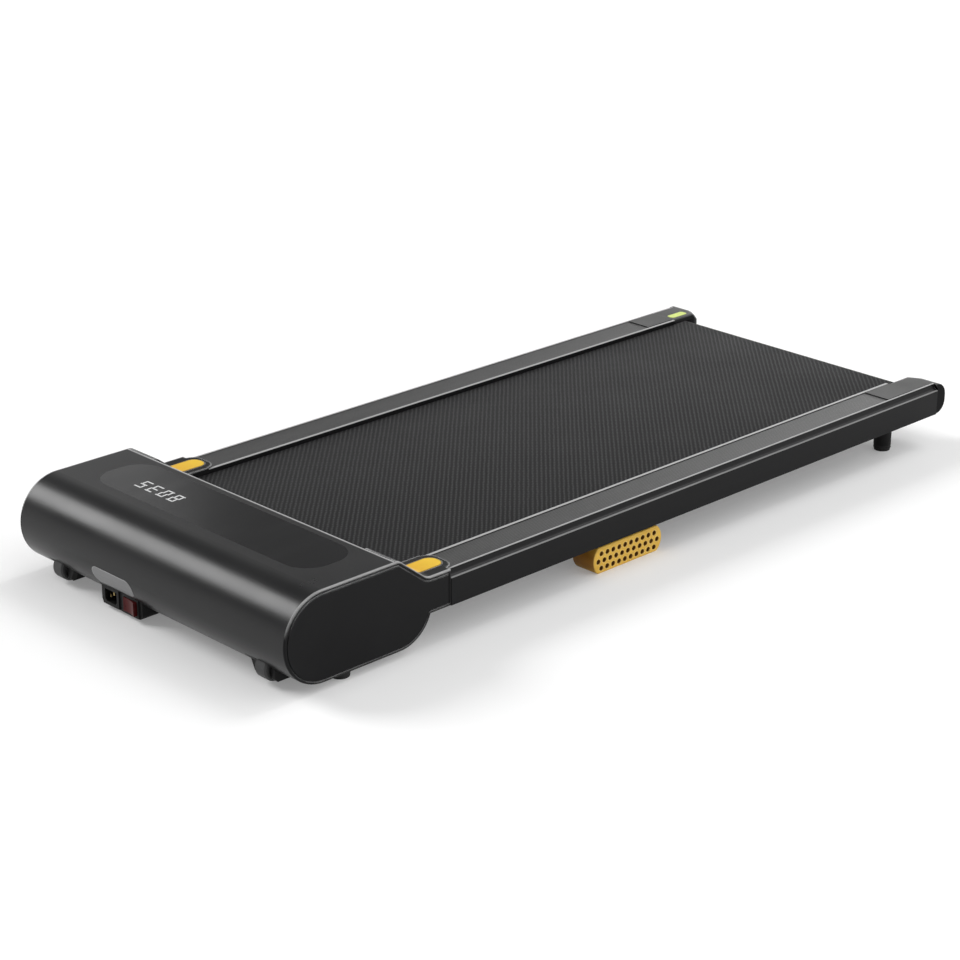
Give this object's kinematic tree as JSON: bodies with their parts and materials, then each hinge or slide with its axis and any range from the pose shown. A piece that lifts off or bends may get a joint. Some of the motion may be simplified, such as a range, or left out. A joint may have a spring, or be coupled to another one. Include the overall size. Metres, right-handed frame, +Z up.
{
  "type": "walking pad",
  "caption": "Low under-desk walking pad with a round-nosed motor hood, a display, a belt between side rails and yellow shock blocks",
  "frame": {"origin": "centre of the pad's footprint on the floor, below the middle of the bounding box", "axes": "+X from the motor hood to the tail, +Y to the walker's right, +Z up"},
  "size_m": [1.24, 0.52, 0.126],
  "materials": {
    "hood_black": "satin moulded, fine texture",
    "cap_black": "satin moulded",
    "tail_black": "semi-gloss moulded",
    "rail_black": "satin black on extruded aluminium",
    "strip_grey": "matte, ribbed along its length",
    "yellow_plastic": "satin",
    "yellow_elastomer": "soft matte",
    "lime_plastic": "satin",
    "belt_black": "fine line texture",
    "smoked_window": "polished, smoked",
    "silver": "brushed",
    "inlet_black": "moulded",
    "red_rocker": "polished",
    "contact_brass": "plated",
    "bright_steel": "turned",
    "frame_black": "powder coated",
    "deck_wood": "pressed board, waxed top",
    "black_rubber": "moulded",
    "motor_grey": "satin",
    "core_iron": "varnished laminations",
    "pulley_metal": "cast and turned",
    "board_green": "solder mask",
    "sink_aluminium": "extruded",
    "component_black": "moulded",
    "wheel_black": "hard tread",
    "lead_black": "sleeved"
  },
  "bodies": {
    "pad_body": {"hood_cover": "hood_black", "base_pan": "cap_black", "left_end_cap": "cap_black", "right_end_cap": "cap_black", "shoulder_inlays": "yellow_plastic", "display_window": "smoked_window", "display_module": "component_black", "nose_plate": "silver", "inlet_housing": "inlet_black", "power_socket": "inlet_black", "socket_blades": "contact_brass", "switch_bezel": "inlet_black", "controller_board": "board_green", "controller_heatsink": "sink_aluminium", "controller_parts": "component_black", "motor_can": "motor_grey", "motor_cradle": "frame_black", "drive_belt": "black_rubber", "front_roller_shaft": "bright_steel", "front_roller_brackets": "frame_black", "rear_roller_shaft": "bright_steel", "rear_roller_brackets": "frame_black", "running_belt": "belt_black", "deck_board": "deck_wood", "deck_cushions": "black_rubber", "deck_screws": "bright_steel", "side_tubes": "frame_black", "cross_tubes": "frame_black", "left_rail": "rail_black", "right_rail": "rail_black", "rail_screws": "bright_steel", "tread_strips": "strip_grey", "left_rear_cap": "tail_black", "right_rear_cap": "tail_black", "lime_inlay": "lime_plastic", "shock_blocks": "yellow_elastomer", "shock_block_brackets": "frame_black", "front_feet": "black_rubber", "rear_feet": "black_rubber", "rear_legs": "cap_black", "wheel_forks": "inlet_black", "wheel_axles": "bright_steel", "pan_screws": "bright_steel", "mains_lead": "lead_black", "motor_lead": "lead_black", "display_lead": "lead_black"},
    "front_roller": {"front_roller_tube": "bright_steel", "front_roller_pulley": "pulley_metal", "front_bearings": "bright_steel"},
    "rear_roller": {"rear_roller_tube": "bright_steel", "rear_bearings": "bright_steel"},
    "motor_rotor": {"motor_shaft": "bright_steel", "motor_armature": "core_iron", "motor_pulley": "pulley_metal", "motor_fan": "component_black"},
    "left_wheel_body": {"left_wheel": "wheel_black"},
    "right_wheel_body": {"right_wheel": "wheel_black"},
    "rocker": {"power_switch": "red_rocker"},
    "left_take_up_bolt": {"left_tension_bolt": "bright_steel"},
    "right_take_up_bolt": {"right_tension_bolt": "bright_steel"}
  },
  "joints": [
    {"name": "front_roller_spin", "type": "hinge", "parent": "pad_body", "child": "front_roller", "pos_m": [-0.485, 0, 0.0639], "axis": [0, 1, 0], "continuous": true},
    {"name": "rear_roller_spin", "type": "hinge", "parent": "pad_body", "child": "rear_roller", "pos_m": [0.5695, 0, 0.0639], "axis": [0, 1, 0], "continuous": true},
    {"name": "motor_spin", "type": "hinge", "parent": "pad_body", "child": "motor_rotor", "pos_m": [-0.566, 0, 0.066], "axis": [0, 1, 0], "continuous": true},
    {"name": "left_wheel_spin", "type": "hinge", "parent": "pad_body", "child": "left_wheel_body", "pos_m": [-0.5915, -0.2, 0.022], "axis": [0, 1, 0], "continuous": true},
    {"name": "right_wheel_spin", "type": "hinge", "parent": "pad_body", "child": "right_wheel_body", "pos_m": [-0.5915, 0.2, 0.022], "axis": [0, 1, 0], "continuous": true},
    {"name": "power_rocker", "type": "hinge", "parent": "pad_body", "child": "rocker", "pos_m": [-0.604, 0.051, 0.01825], "axis": [0, 0, 1], "range_deg": [0, 14]},
    {"name": "left_take_up", "type": "hinge", "parent": "pad_body", "child": "left_take_up_bolt", "pos_m": [0.585, -0.226, 0.0639], "axis": [1, 0, 0], "range_deg": [-360, 360]},
    {"name": "right_take_up", "type": "hinge", "parent": "pad_body", "child": "right_take_up_bolt", "pos_m": [0.585, 0.226, 0.0639], "axis": [1, 0, 0], "range_deg": [-360, 360]}
  ],
  "couplings": [
    {"joint": "rear_roller_spin", "follows": "front_roller_spin", "ratio": 1},
    {"joint": "motor_spin", "follows": "front_roller_spin", "ratio": 2.9091}
  ]
}
